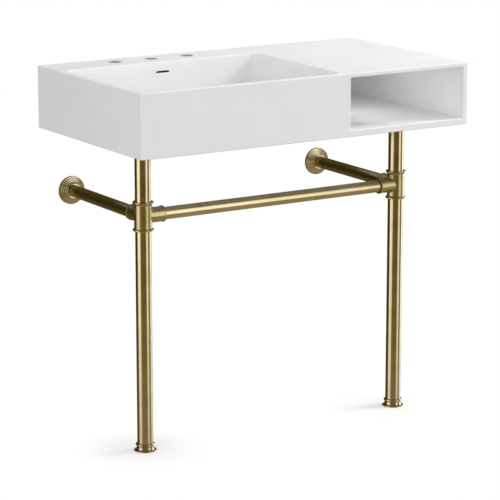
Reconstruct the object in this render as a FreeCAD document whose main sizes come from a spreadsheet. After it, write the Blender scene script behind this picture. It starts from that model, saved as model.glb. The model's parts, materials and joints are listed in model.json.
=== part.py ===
import FreeCAD, Part
import math
import os
import re
import Sketcher

# Console sink on two brass legs, held to a wall. Millimetres, +Z up, +X to the right, +Y to the wall.
# The origin is on the floor under the middle of the sink top; the front faces -Y.

Vector = FreeCAD.Vector
Rotation = FreeCAD.Rotation

# ---------------------------------------------------------------- driving dimensions

SIZES = {
    # sink top
    "sink_width": 914.4,            # 36 in
    "sink_depth": 508.0,            # 20 in, front to wall
    "sink_height": 152.4,           # 6 in
    "overall_height": 889.0,        # 35 in, floor to rim
    "edge_radius": 2.0,             # all outer edges of the sink
    "left_rim": 18.0,               # wall on the left of the bowl
    "front_rim": 18.0,              # wall in front of the bowl
    "back_skirt": 16.0,             # wall against the room's wall
    "deck_depth": 106.0,            # tap deck, bowl to room's wall
    "deck_thickness": 14.0,
    # bowl
    "bowl_width": 540.0,
    "bowl_depth": 116.0,            # rim to floor, at the walls
    "bowl_fall": 6.0,               # further drop of the floor to the drain
    "bowl_fall_margin": 6.0,        # level strip of floor around the fall
    "bowl_back_wall": 14.0,
    "bowl_corner_radius": 22.0,
    "bowl_foot_radius": 12.0,       # between walls and floor
    "bowl_lip_radius": 2.5,
    "under_recess": 13.0,           # hollow under the bowl floor
    # drain
    "drain_radius": 22.5,
    "drain_recess_radius": 33.0,
    "drain_recess_depth": 3.0,
    "drain_boss_radius": 38.0,
    "drain_boss_foot": 2.0,         # underside of the boss above the sink's underside
    # overflow
    "overflow_width": 37.0,
    "overflow_height": 5.0,
    "overflow_drop": 25.0,          # rim to slot
    "overflow_duct_width": 24.0,
    "overflow_duct_depth": 9.0,
    "overflow_duct_wall": 6.0,
    "overflow_duct_cover": 3.0,     # duct's roof above the hollow under the bowl
    # taps and wall fixing
    "tap_radius": 17.5,
    "tap_spacing": 101.6,           # 4 in
    "tap_setback": 48.0,            # hole centres to the room's wall
    "hanger_radius": 6.0,
    "hanger_spacing": 280.0,
    "hanger_drop": 60.0,            # rim to hanger holes
    # cubby
    "cubby_divider": 13.0,
    "cubby_right_wall": 12.4,
    "cubby_top": 10.0,
    "cubby_bottom": 15.0,
    "cubby_lip_radius": 1.5,
    # legs
    "left_leg_inset": 86.0,         # leg axis to the left side of the sink
    "right_leg_inset": 107.0,
    "leg_setback": 147.0,           # leg axis to the front of the sink
    "leg_radius": 19.05,            # 1 1/2 in tube
    "leg_tube_wall": 1.5,
    "leg_boss_radius": 32.0,
    "leg_cap_length": 18.0,
    "leg_stud_radius": 5.0,
    "leg_stud_grip": 14.0,          # stud length inside the cap
    "insert_radius": 8.0,
    "insert_length": 11.0,
    # cross fittings
    "fitting_height": 573.0,        # floor to rail axis
    "fitting_radius": 21.2,
    "fitting_half_height": 35.0,
    "bead_radius": 25.0,
    "bead_height": 4.4,             # straight part of the bead, before its flare
    "bead_edge_radius": 1.6,
    "tube_stop": 10.0,              # rib between the two leg tubes
    "tube_stop_bore": 15.0,
    "socket_radius": 18.3,
    "saddle_radius": 3.0,           # fillet between the sockets and the body
    "socket_reach": 54.0,           # leg axis to socket mouth
    "socket_floor": 26.0,           # leg axis to bottom of the socket's bore
    "lip_radius": 19.5,
    "lip_width": 5.0,
    "lip_chamfer": 1.0,
    "mouth_radius": 17.6,           # countersink around the rail and the strut
    "mouth_depth": 2.5,
    "socket_screw_setback": 9.5,    # socket mouth to its grub screw
    "grub_radius": 1.5,
    "grub_socket_radius": 0.8,
    "grub_socket_depth": 1.4,
    "grub_sunk": 0.4,               # screw's end below the surface around it
    # rail and struts
    "rail_radius": 15.0,
    "rail_tube_wall": 1.5,
    # wall plates and flanges
    "plate_radius": 26.0,
    "plate_thickness": 5.0,
    "plate_screw_radius": 2.3,
    "plate_screw_head": 4.2,
    "plate_screw_cone": 1.9,
    "plate_screw_flat": 0.5,        # straight part above the cone
    "plate_screw_circle": 20.7,
    "plate_screw_count": 3,
    "spigot_length": 25.0,
    "strut_screw_reach": 8.0,       # wall plate's face to the screw
    "strut_screw_start": 8.0,       # strut's axis to the screw's inner end
    "flange_radius": 35.0,
    "flange_depth": 18.0,
    "flange_first_step": 6.5,
    "flange_step": 2.8,
    "flange_second_radius": 30.5,
    "flange_third_radius": 26.0,
    "flange_fourth_radius": 21.8,
    "flange_hub_radius": 18.6,
    "flange_cavity_depth": 6.5,
    "flange_edge_radius": 1.3,
    "ring_cord_radius": 1.1,        # rubber ring in the hub
    "ring_setback": 6.0,            # hub's face to the ring
    # feet
    "foot_radius": 27.0,
    "foot_edge_height": 2.8,        # floor to the top of the thin edge
    "foot_land": 0.7,               # flat strip between the edge and the flare
    "foot_neck_radius": 20.5,
    "foot_height": 12.0,            # floor to top of neck
    "foot_edge_radius": 0.6,
    "foot_floor": 2.0,              # metal between pad and stud
    "foot_stud_radius": 5.0,
    "foot_stud_length": 46.0,
    "ferrule_radius": 22.9,
    "ferrule_height": 7.0,
    "ferrule_plug": 20.0,           # plug inside the tube
    "pad_radius": 24.0,
    "pad_thickness": 2.0,
    "pad_proud": 0.5,
    # clearances
    "fit_gap": 0.1,                 # pieces that are pressed, screwed or glued together
    "running_gap": 0.1,             # threads that turn
    "moving_gap": 0.3,              # bodies that move past each other
    "ring_gap": 0.2,                # rubber ring to the strut and to its groove
    "end_gap": 1.0,                 # end of a tube or stud to the bottom of its hole
    "overlap": 1.0,                 # how far joined and cut shapes reach past each other
}

TOUCH = 0.01                        # edges are told apart within this distance

# Places and sizes that follow from the driving dimensions.
FOLLOWS = {
    "sink_base": "overall_height - sink_height",
    "bowl_right": "left_rim + bowl_width",
    "bowl_back": "sink_depth - deck_depth",
    "bowl_length": "bowl_back - front_rim",
    "bowl_middle": "left_rim + bowl_width / 2",
    "bowl_centre": "front_rim + bowl_length / 2",
    "bowl_floor": "sink_height - bowl_depth",
    "drain_floor": "bowl_floor - bowl_fall",
    "void_front": "bowl_back + bowl_back_wall",
    "void_back": "sink_depth - back_skirt",
    "void_top": "sink_height - deck_thickness",
    "duct_back": "void_front + overflow_duct_depth",
    "duct_top": "sink_height - overflow_drop + overflow_height",
    "duct_roof": "under_recess + overflow_duct_cover",
    "duct_floor": "duct_roof - overflow_duct_depth",
    "cubby_left": "bowl_right + cubby_divider",
    "cubby_right": "sink_width - cubby_right_wall",
    "cubby_width": "cubby_right - cubby_left",
    "cubby_height": "sink_height - cubby_top - cubby_bottom",
    "left_leg_x": "left_leg_inset - sink_width / 2",
    "right_leg_x": "sink_width / 2 - right_leg_inset",
    "leg_y": "leg_setback - sink_depth / 2",
    "wall_y": "sink_depth / 2",
    "leg_bore": "leg_radius - leg_tube_wall",
    "rail_bore": "rail_radius - rail_tube_wall",
    "bead_middle": "fitting_half_height - bead_height / 2",
    "bead_start": "fitting_half_height - bead_height",
    "flare_start": "bead_start - bead_radius + fitting_radius",
    "lip_start": "socket_reach - lip_width",
    "socket_screw_reach": "socket_reach - socket_screw_setback",
    "flare_middle": "foot_radius - foot_land",
    "flare_top": "foot_edge_height + flare_middle - foot_neck_radius",
    "foot_stud_base": "pad_thickness + foot_floor",
    "ferrule_base": "foot_height + moving_gap",
    "ferrule_top": "ferrule_base + ferrule_height",
    "spigot_radius": "rail_bore - fit_gap",
    "strut_start": "leg_y + socket_floor + end_gap",
    "plate_face": "wall_y - plate_thickness",
    "strut_length": "plate_face - strut_start",
    "flange_back": "wall_y - moving_gap",
    "flange_bore": "rail_radius + moving_gap",
    "flange_cavity_radius": "plate_radius + end_gap",
    "ring_middle": "flange_depth - ring_setback",
    "ring_radius": "rail_radius + ring_gap + ring_cord_radius",
    "ring_groove_half": "ring_cord_radius + ring_gap",
}

document = FreeCAD.newDocument("console_sink")
sheet = document.addObject("Spreadsheet::Sheet", "Sizes")
for row, (alias, value) in enumerate(SIZES.items(), start=1):
    sheet.set(f"A{row}", alias)
    sheet.set(f"B{row}", str(value))
    sheet.setAlias(f"B{row}", alias)
document.recompute()


def formula(text):
    """Write an expression on the sheet's cells from the plain names above."""
    text = str(text)
    for _ in range(6):
        text = re.sub(r"[A-Za-z_]\w*", lambda word: f"({FOLLOWS[word.group()]})"
                      if word.group() in FOLLOWS else word.group(), text)
    return re.sub(r"[A-Za-z_]\w*", lambda word: "Sizes." + word.group()
                  if word.group() in SIZES else word.group(), text)


def number(text):
    """Value of an expression at the sheet's present sizes."""
    return float(sheet.evalExpression(formula(text)))


# ---------------------------------------------------------------- drawing helpers

NODES = []


def new_body(label, x="0", y="0", z="0", turn=None):
    """Start a sub-part whose place follows the sheet."""
    body = document.addObject("PartDesign::Body", label)
    body.Label = label
    if turn:
        axis, degrees = turn
        body.Placement = FreeCAD.Placement(Vector(0, 0, 0), Rotation(Vector(*axis), degrees))
    for letter, place in zip("xyz", (x, y, z)):
        body.setExpression(f"Placement.Base.{letter}", formula(place))
    NODES.append(body)
    return body


def new_sketch(body, role, name, height="0"):
    """Sketch on one of the body's own planes, raised along the plane's normal."""
    plane = [item for item in body.Origin.OriginFeatures if item.Role == role][0]
    sketch = body.newObject("Sketcher::SketchObject", name)
    sketch.AttachmentSupport = [(plane, "")]
    sketch.MapMode = "FlatFace"
    sketch.setExpression("AttachmentOffset.Base.z", formula(height))
    return sketch


def bind(sketch, kind, geometry, point, text):
    """Hold one coordinate of a point at an expression."""
    index = sketch.addConstraint(Sketcher.Constraint(kind, -1, 1, geometry, point, number(text)))
    sketch.setExpression(f"Constraints[{index}]", formula(text))


def outline(sketch, points, arcs=None):
    """Closed outline through the points; arcs maps a side's number to its centre's x."""
    arcs = arcs or {}
    corners = [Vector(number(x), number(y), 0) for x, y in points]
    first = sketch.GeometryCount
    for side, start in enumerate(corners):
        end = corners[(side + 1) % len(corners)]
        if side in arcs:
            sketch.addGeometry(arc_between(start, end, number(arcs[side])), False)
        else:
            sketch.addGeometry(Part.LineSegment(start, end), False)
    for side, (x, y) in enumerate(points):
        before = first + (side - 1) % len(points)
        sketch.addConstraint(Sketcher.Constraint("Coincident", before, 2, first + side, 1))
        bind(sketch, "DistanceX", first + side, 1, x)
        bind(sketch, "DistanceY", first + side, 1, y)
    for side, centre_x in arcs.items():
        bind(sketch, "DistanceX", first + side, 3, centre_x)
    return sketch


def arc_between(start, end, centre_x):
    """Arc that runs counter-clockwise from start to end about a centre at one x."""
    middle = (start + end) / 2
    across = end - start
    centre_y = middle.y - (centre_x - middle.x) * across.x / across.y
    centre = Vector(centre_x, centre_y, 0)
    circle = Part.Circle(centre, Vector(0, 0, 1), (start - centre).Length)
    angles = [math.atan2((end_point - centre).y, (end_point - centre).x) for end_point in (start, end)]
    return Part.ArcOfCircle(circle, angles[0], angles[1])


def box_outline(sketch, left, front, right, back):
    """Rectangle between four expressions."""
    return outline(sketch, [(left, front), (right, front), (right, back), (left, back)])


def round_hole(sketch, x, y, radius):
    """Circle with its centre and radius held at expressions."""
    centre = Vector(number(x), number(y), 0)
    geometry = sketch.addGeometry(Part.Circle(centre, Vector(0, 0, 1), number(radius)), False)
    bind(sketch, "DistanceX", geometry, 3, x)
    bind(sketch, "DistanceY", geometry, 3, y)
    index = sketch.addConstraint(Sketcher.Constraint("Radius", geometry, number(radius)))
    sketch.setExpression(f"Constraints[{index}]", formula(radius))
    return sketch


def feature(body, kind, name, sketch, **settings):
    """Add a sketch-based feature and make sure that it changed the solid."""
    document.recompute()
    before = body.Shape.Volume if not body.Shape.isNull() else 0.0
    item = body.newObject(kind, name)
    item.Profile = sketch
    for key, setting in settings.items():
        if key == "length":
            item.setExpression("Length", formula(setting))
        else:
            setattr(item, key, setting)
    document.recompute()
    sketch.Visibility = False
    grown = body.Shape.Volume - before
    cuts = kind in ("PartDesign::Pocket", "PartDesign::Groove")
    if "Up-to-date" not in item.State or (grown >= 0 if cuts else grown <= 0):
        raise RuntimeError(f"{body.Label}: {name} did not change the solid as it should")
    return item


def pad(body, name, sketch, length, upwards=True):
    return feature(body, "PartDesign::Pad", name, sketch, length=length, Reversed=not upwards)


def pocket(body, name, sketch, length, upwards=False):
    return feature(body, "PartDesign::Pocket", name, sketch, length=length, Reversed=upwards)


def turned(body, name, sketch, axis="V_Axis"):
    return feature(body, "PartDesign::Revolution", name, sketch,
                   ReferenceAxis=(sketch, [axis]), Angle=360)


def turned_cut(body, name, sketch, axis="V_Axis"):
    return feature(body, "PartDesign::Groove", name, sketch, ReferenceAxis=(sketch, [axis]), Angle=360)


def soften(body, name, radius, wanted):
    """Fillet the edges of the tip that a test picks out."""
    document.recompute()
    base = body.Tip
    names = [f"Edge{count}" for count, edge in enumerate(base.Shape.Edges, start=1) if wanted(edge)]
    fillet = body.newObject("PartDesign::Fillet", name)
    fillet.Base = (base, names)
    fillet.setExpression("Radius", formula(radius))
    document.recompute()
    if not names or "Up-to-date" not in fillet.State:
        raise RuntimeError(f"{body.Label}: {name} failed on {len(names)} edges")
    return fillet


def near(value, text):
    return abs(value - number(text)) < TOUCH


def level_at(edge, text):
    """True for an edge that lies flat at one height."""
    box = edge.BoundBox
    return near(box.ZMin, text) and near(box.ZMax, text)


def tube(label, outer, inner, length, **place):
    """Plain tube along its own Z axis."""
    body = new_body(label, **place)
    ring = new_sketch(body, "XY_Plane", label + "_ring")
    round_hole(ring, "0", "0", outer)
    round_hole(ring, "0", "0", inner)
    pad(body, label + "_pad", ring, length)
    return body


def rod(label, radius, length, **place):
    """Plain round rod along its own Z axis."""
    body = new_body(label, **place)
    circle = new_sketch(body, "XY_Plane", label + "_circle")
    round_hole(circle, "0", "0", radius)
    pad(body, label + "_pad", circle, length)
    return body


# ---------------------------------------------------------------- sink top

def sink_top():
    """One cast piece, drawn from its own front left lower corner."""
    body = new_body("sink_top", "-sink_width / 2", "-sink_depth / 2", "sink_base")

    block = new_sketch(body, "XY_Plane", "sink_block_sketch")
    box_outline(block, "0", "0", "sink_width", "sink_depth")
    pad(body, "sink_block", block, "sink_height")
    soften(body, "sink_edges", "edge_radius", lambda edge: True)

    # bowl: a rounded well, then a floor that falls to the drain from all four sides
    well = new_sketch(body, "XY_Plane", "bowl_well_sketch", "sink_height")
    rounded_box(well, "left_rim", "front_rim", "bowl_right", "bowl_back", "bowl_corner_radius")
    pocket(body, "bowl_well", well, "bowl_depth")
    soften(body, "bowl_foot", "bowl_foot_radius", lambda edge: level_at(edge, "bowl_floor"))
    floor_rim = new_sketch(body, "XY_Plane", "bowl_floor_rim", "bowl_floor")
    level = "(bowl_foot_radius + bowl_fall_margin)"
    box_outline(floor_rim, f"left_rim + {level}", f"front_rim + {level}", f"bowl_right - {level}",
                f"bowl_back - {level}")
    floor_end = new_sketch(body, "XY_Plane", "bowl_floor_end", "drain_floor")
    box_outline(floor_end, "bowl_middle - drain_recess_radius", "bowl_centre - drain_recess_radius",
                "bowl_middle + drain_recess_radius", "bowl_centre + drain_recess_radius")
    fall = body.newObject("PartDesign::SubtractiveLoft", "bowl_fall_cut")
    fall.Profile = floor_rim
    fall.Sections = [floor_end]
    fall.Ruled = True
    soften(body, "bowl_lip", "bowl_lip_radius", lambda edge: is_bowl_lip(edge))

    # cubby, open at the front
    mouth = new_sketch(body, "XZ_Plane", "cubby_sketch")
    box_outline(mouth, "cubby_left", "cubby_bottom", "cubby_right", "sink_height - cubby_top")
    pocket(body, "cubby", mouth, "void_back")
    soften(body, "cubby_lip", "cubby_lip_radius", lambda edge: is_cubby_lip(edge))

    # underside: shallow hollow below the bowl, deep hollow below the tap deck
    hollow = new_sketch(body, "XY_Plane", "under_bowl_sketch")
    box_outline(hollow, "left_rim", "front_rim", "bowl_right", "void_back")
    pocket(body, "under_bowl", hollow, "under_recess", upwards=True)
    deep = new_sketch(body, "XY_Plane", "under_deck_sketch")
    box_outline(deep, "left_rim", "void_front", "bowl_right", "void_back")
    pocket(body, "under_deck", deep, "void_top", upwards=True)

    # left leg's boss, drain boss, and the housing of the overflow duct
    bosses = new_sketch(body, "XY_Plane", "leg_boss_sketch")
    round_hole(bosses, "left_leg_inset", "leg_setback", "leg_boss_radius")
    pad(body, "leg_boss", bosses, "under_recess + overlap")
    drain_boss = new_sketch(body, "XY_Plane", "drain_boss_sketch", "drain_boss_foot")
    round_hole(drain_boss, "bowl_middle", "bowl_centre", "drain_boss_radius")
    pad(body, "drain_boss", drain_boss, "under_recess + overlap - drain_boss_foot")
    half_housing = "(overflow_duct_width / 2 + overflow_duct_wall)"
    run = new_sketch(body, "XY_Plane", "duct_run_sketch", "drain_boss_foot")
    box_outline(run, f"bowl_middle - {half_housing}", "bowl_centre",
                f"bowl_middle + {half_housing}", "duct_back + overflow_duct_wall")
    pad(body, "duct_run_housing", run, "under_recess + overlap - drain_boss_foot")
    rise = new_sketch(body, "XY_Plane", "duct_rise_sketch", "drain_boss_foot")
    box_outline(rise, f"bowl_middle - {half_housing}", "void_front - overlap",
                f"bowl_middle + {half_housing}", "duct_back + overflow_duct_wall")
    pad(body, "duct_rise_housing", rise, "void_top + overlap - drain_boss_foot")

    # drain, with the overflow duct opening into its side
    recess = new_sketch(body, "XY_Plane", "drain_recess_sketch", "drain_floor")
    round_hole(recess, "bowl_middle", "bowl_centre", "drain_recess_radius")
    pocket(body, "drain_recess", recess, "drain_recess_depth")
    drain = new_sketch(body, "XY_Plane", "drain_sketch", "bowl_floor")
    round_hole(drain, "bowl_middle", "bowl_centre", "drain_radius")
    pocket(body, "drain_hole", drain, "bowl_floor")
    duct = new_sketch(body, "XY_Plane", "duct_floor_sketch", "duct_floor")
    box_outline(duct, "bowl_middle - overflow_duct_width / 2", "bowl_centre",
                "bowl_middle + overflow_duct_width / 2", "duct_back")
    pocket(body, "duct_run", duct, "overflow_duct_depth", upwards=True)
    shaft = new_sketch(body, "XY_Plane", "duct_shaft_sketch", "duct_floor")
    box_outline(shaft, "bowl_middle - overflow_duct_width / 2", "duct_back - overflow_duct_depth",
                "bowl_middle + overflow_duct_width / 2", "duct_back")
    pocket(body, "duct_shaft", shaft, "duct_top - duct_floor", upwards=True)
    slot = new_sketch(body, "XZ_Plane", "overflow_sketch", "-(bowl_back - overlap)")
    stadium(slot, "bowl_middle", "sink_height - overflow_drop", "overflow_width", "overflow_height")
    pocket(body, "overflow_slot", slot, "bowl_back_wall + 2 * overlap")

    # tap holes, hanger holes and the seats of the leg inserts
    taps = new_sketch(body, "XY_Plane", "tap_sketch", "sink_height")
    for place in (-1, 0, 1):
        round_hole(taps, f"bowl_middle + {place} * tap_spacing", "sink_depth - tap_setback", "tap_radius")
    pocket(body, "tap_holes", taps, "deck_thickness + overlap")
    hangers = new_sketch(body, "XZ_Plane", "hanger_sketch", "-(void_back - overlap)")
    for place in (-0.5, 0.5):
        round_hole(hangers, f"bowl_middle + {place} * hanger_spacing", "sink_height - hanger_drop",
                   "hanger_radius")
    pocket(body, "hanger_holes", hangers, "back_skirt + 2 * overlap")
    seats = new_sketch(body, "XY_Plane", "insert_sketch")
    for place in ("left_leg_inset", "sink_width - right_leg_inset"):
        round_hole(seats, place, "leg_setback", "insert_radius + fit_gap")
    pocket(body, "insert_seats", seats, "insert_length", upwards=True)
    return body


def rounded_box(sketch, left, front, right, back, radius):
    """Rectangle with four equal round corners."""
    outline(sketch, [
        (f"{left} + {radius}", front), (f"{right} - {radius}", front),
        (right, f"{front} + {radius}"), (right, f"{back} - {radius}"),
        (f"{right} - {radius}", back), (f"{left} + {radius}", back),
        (left, f"{back} - {radius}"), (left, f"{front} + {radius}"),
    ], {1: f"{right} - {radius}", 3: f"{right} - {radius}",
        5: f"{left} + {radius}", 7: f"{left} + {radius}"})


def stadium(sketch, x, y, width, height):
    """Slot with round ends."""
    half = f"({width} - {height}) / 2"
    outline(sketch, [
        (f"{x} - {half}", f"{y} - {height} / 2"), (f"{x} + {half}", f"{y} - {height} / 2"),
        (f"{x} + {half}", f"{y} + {height} / 2"), (f"{x} - {half}", f"{y} + {height} / 2"),
    ], {1: f"{x} + {half}", 3: f"{x} - {half}"})


def is_bowl_lip(edge):
    """Edge of the bowl in the top face, not the sink's own edge."""
    box = edge.BoundBox
    inside = number("left_rim / 2")
    return (level_at(edge, "sink_height") and box.XMin > inside and box.YMin > inside
            and box.XMax < number("bowl_right + cubby_divider / 2")
            and box.YMax < number("bowl_back + deck_depth / 2"))


def is_cubby_lip(edge):
    """Edge of the cubby's mouth in the front face."""
    box = edge.BoundBox
    return (abs(box.YMin) < TOUCH and abs(box.YMax) < TOUCH
            and box.XMin > number("cubby_left") - TOUCH and box.XMax < number("cubby_right") + TOUCH
            and box.ZMin > number("cubby_bottom") - TOUCH
            and box.ZMax < number("sink_height - cubby_top") + TOUCH)


# ---------------------------------------------------------------- cross fittings

def cross_fitting(side, leg_x, way):
    """Beaded fitting: leg tubes above and below, rail socket inwards, strut socket to the wall."""
    body = new_body(f"cross_fitting_{side}", leg_x, "leg_y", "fitting_height")
    trunk = new_sketch(body, "XZ_Plane", f"trunk_{side}")
    half = "fitting_half_height"
    box_outline(trunk, "0", f"-{half}", "fitting_radius", half)
    turned(body, f"trunk_turn_{side}", trunk)
    # beads at both ends, each with a hollow flare down to the body
    top = new_sketch(body, "XZ_Plane", f"bead_top_{side}")
    outline(top, [
        ("fitting_radius - overlap", half), ("bead_radius", half), ("bead_radius", "bead_start"),
        ("fitting_radius", "flare_start"), ("fitting_radius - overlap", "flare_start"),
    ], {2: "bead_radius"})
    turned(body, f"bead_turn_top_{side}", top)
    low = new_sketch(body, "XZ_Plane", f"bead_low_{side}")
    outline(low, [
        ("fitting_radius - overlap", "-flare_start"), ("fitting_radius", "-flare_start"),
        ("bead_radius", "-bead_start"), ("bead_radius", f"-{half}"),
        ("fitting_radius - overlap", f"-{half}"),
    ], {1: "bead_radius"})
    turned(body, f"bead_turn_low_{side}", low)
    levels = [sign + height for sign in ("", "-") for height in (half, "bead_start")]
    soften(body, f"bead_rounds_{side}", "bead_edge_radius", lambda edge: any(
        level_at(edge, height) and near(edge.BoundBox.XMax, "bead_radius") for height in levels))

    for name, axis, points in (
            ("rail", "H_Axis", [("0", "0"), ("0", "socket_radius"),
                                (f"{way} * lip_start", "socket_radius"),
                                (f"{way} * (lip_start + lip_chamfer)", "lip_radius"),
                                (f"{way} * (socket_reach - lip_chamfer)", "lip_radius"),
                                (f"{way} * socket_reach", "lip_radius - lip_chamfer"),
                                (f"{way} * socket_reach", "0")]),
            ("strut", "V_Axis", [("0", "0"), ("socket_radius", "0"),
                                 ("socket_radius", "lip_start"),
                                 ("lip_radius", "lip_start + lip_chamfer"),
                                 ("lip_radius", "socket_reach - lip_chamfer"),
                                 ("lip_radius - lip_chamfer", "socket_reach"),
                                 ("0", "socket_reach")])):
        socket = new_sketch(body, "XY_Plane", f"{name}_socket_{side}")
        outline(socket, points)
        turned(body, f"{name}_socket_turn_{side}", socket, axis)
        soften(body, f"{name}_saddle_{side}", "saddle_radius", lambda edge: meets_socket(edge, name))

    # bores: leg tubes against a stop rib, rail and strut in blind sockets
    bores = new_sketch(body, "XZ_Plane", f"leg_bores_{side}")
    outline(bores, [
        ("0", f"-{half} - overlap"), ("leg_radius + fit_gap", f"-{half} - overlap"),
        ("leg_radius + fit_gap", "-tube_stop / 2"), ("tube_stop_bore", "-tube_stop / 2"),
        ("tube_stop_bore", "tube_stop / 2"), ("leg_radius + fit_gap", "tube_stop / 2"),
        ("leg_radius + fit_gap", f"{half} + overlap"), ("0", f"{half} + overlap"),
    ])
    turned_cut(body, f"leg_bore_cut_{side}", bores)
    reach_and_radius = [
        ("socket_floor", "0"), ("socket_reach + overlap", "0"), ("socket_reach + overlap", "mouth_radius"),
        ("socket_reach", "mouth_radius"), ("socket_reach - mouth_depth", "rail_radius + fit_gap"),
        ("socket_floor", "rail_radius + fit_gap"),
    ]
    rail_bore = new_sketch(body, "XY_Plane", f"rail_bore_{side}")
    outline(rail_bore, [(f"{way} * ({reach})", radius) for reach, radius in reach_and_radius])
    turned_cut(body, f"rail_bore_cut_{side}", rail_bore, "H_Axis")
    strut_bore = new_sketch(body, "XY_Plane", f"strut_bore_{side}")
    outline(strut_bore, [(radius, reach) for reach, radius in reach_and_radius])
    turned_cut(body, f"strut_bore_cut_{side}", strut_bore)

    # threaded holes of the grub screws, out of sight behind the beads and under the sockets
    back = new_sketch(body, "XZ_Plane", f"bead_screws_{side}")
    for height in ("-bead_middle", "bead_middle"):
        round_hole(back, "0", height, "grub_radius + running_gap")
    pocket(body, f"bead_screw_holes_{side}", back, "bead_radius + overlap")
    under = new_sketch(body, "XY_Plane", f"socket_screws_{side}")
    round_hole(under, f"{way} * socket_screw_reach", "0", "grub_radius + running_gap")
    round_hole(under, "0", "socket_screw_reach", "grub_radius + running_gap")
    pocket(body, f"socket_screw_holes_{side}", under, "socket_radius + overlap")
    return body


def meets_socket(edge, name):
    """Edge where the rail's or the strut's socket runs into the rest of the fitting."""
    spot = edge.valueAt((edge.FirstParameter + edge.LastParameter) / 2)
    box = edge.BoundBox
    across, reach = ((spot.y, max(-box.XMin, box.XMax)) if name == "rail" else (spot.x, box.YMax))
    return near(math.hypot(across, spot.z), "socket_radius") and reach < number("lip_start") - TOUCH


def grub(document_name, length):
    """Short threaded rod with a round key socket in its outer end, from z = 0 outwards."""
    rod_part = document.addObject("Part::Cylinder", document_name + "_rod")
    rod_part.setExpression("Radius", formula("grub_radius"))
    rod_part.setExpression("Height", formula(length))
    key = document.addObject("Part::Cylinder", document_name + "_key")
    key.setExpression("Radius", formula("grub_socket_radius"))
    key.setExpression("Height", formula("grub_socket_depth + overlap"))
    key.setExpression("Placement.Base.z", formula(f"{length} - grub_socket_depth"))
    screw = document.addObject("Part::Cut", document_name)
    screw.Base = rod_part
    screw.Tool = key
    return screw


def place(item, x, y, z, axis, degrees):
    """Turn an object about the origin and move it to three expressions."""
    item.Placement = FreeCAD.Placement(Vector(0, 0, 0), Rotation(Vector(*axis), degrees))
    for letter, text in zip("xyz", (x, y, z)):
        item.setExpression(f"Placement.Base.{letter}", formula(text))
    return item


def cross_screws(side, leg_x, way):
    """Two grub screws that hold the leg tubes and two that hold the rail and the strut."""
    screws = []
    for end, height in (("low", "-bead_middle"), ("top", "bead_middle")):
        screw = grub(f"bead_grub_{end}_{side}", "bead_radius - leg_radius - fit_gap - grub_sunk")
        screws.append(place(screw, leg_x, "leg_y + leg_radius + fit_gap", f"fitting_height + {height}",
                            (1, 0, 0), -90))
    for name, x, y in (("rail", f"{leg_x} + {way} * socket_screw_reach", "leg_y"),
                       ("strut", leg_x, "leg_y + socket_screw_reach")):
        screw = grub(f"socket_grub_{name}_{side}", "socket_radius - rail_radius - fit_gap - grub_sunk")
        screws.append(place(screw, x, y, "fitting_height - rail_radius - fit_gap", (1, 0, 0), 180))
    group = document.addObject("Part::Compound", f"cross_screws_{side}")
    group.Label = f"cross_screws_{side}"
    group.Links = screws
    NODES.append(group)
    return group


# ---------------------------------------------------------------- legs and feet

def leg(side, leg_x):
    """Tubes, cap, stud and insert of one leg."""
    tube(f"leg_{side}_upper_tube", "leg_radius", "leg_bore",
         "sink_base - fitting_height - tube_stop / 2", x=leg_x, y="leg_y",
         z="fitting_height + tube_stop / 2")
    tube(f"leg_{side}_lower_tube", "leg_radius", "leg_bore",
         "fitting_height - tube_stop / 2 - ferrule_top", x=leg_x, y="leg_y", z="ferrule_top")
    tube(f"leg_cap_{side}", "leg_bore - fit_gap", "leg_stud_radius + fit_gap", "leg_cap_length",
         x=leg_x, y="leg_y", z="sink_base - leg_cap_length")
    rod(f"leg_stud_{side}", "leg_stud_radius", "leg_stud_grip + insert_length - end_gap", x=leg_x,
        y="leg_y", z="sink_base - leg_stud_grip")
    tube(f"leg_insert_{side}", "insert_radius", "leg_stud_radius + fit_gap", "insert_length",
         x=leg_x, y="leg_y", z="sink_base")


def foot(side, leg_x):
    """Ferrule on the tube, and the foot that screws into it."""
    ferrule = new_body(f"foot_ferrule_{side}", leg_x, "leg_y", "ferrule_base")
    profile = new_sketch(ferrule, "XZ_Plane", f"ferrule_profile_{side}")
    outline(profile, [
        ("foot_stud_radius + running_gap", "0"), ("ferrule_radius - ferrule_height / 2", "0"),
        ("ferrule_radius - ferrule_height / 2", "ferrule_height"),
        ("leg_bore - fit_gap", "ferrule_height"),
        ("leg_bore - fit_gap", "ferrule_height + ferrule_plug"),
        ("foot_stud_radius + running_gap", "ferrule_height + ferrule_plug"),
    ], {1: "ferrule_radius - ferrule_height / 2"})
    turned(ferrule, f"ferrule_turn_{side}", profile)

    base = new_body(f"foot_base_{side}", leg_x, "leg_y", "0")
    profile = new_sketch(base, "XZ_Plane", f"foot_profile_{side}")
    outline(profile, [
        ("0", "foot_stud_base"), ("foot_stud_radius + fit_gap", "foot_stud_base"),
        ("foot_stud_radius + fit_gap", "foot_height"), ("foot_neck_radius", "foot_height"),
        ("foot_neck_radius", "flare_top"), ("flare_middle", "foot_edge_height"),
        ("foot_radius", "foot_edge_height"), ("foot_radius", "pad_proud"),
        ("pad_radius + fit_gap", "pad_proud"), ("pad_radius + fit_gap", "pad_thickness"),
        ("0", "pad_thickness"),
    ], {4: "flare_middle"})
    turned(base, f"foot_turn_{side}", profile)
    soften(base, f"foot_round_{side}", "foot_edge_radius", lambda edge: (
        near(edge.BoundBox.XMax, "foot_radius")
        and (level_at(edge, "foot_edge_height") or level_at(edge, "pad_proud"))))

    rod(f"foot_stud_{side}", "foot_stud_radius", "foot_stud_length", x=leg_x, y="leg_y",
        z="foot_stud_base")
    rod(f"foot_pad_{side}", "pad_radius", "pad_thickness", x=leg_x, y="leg_y", z="0")


# ---------------------------------------------------------------- rail, struts and wall fixings

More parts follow.
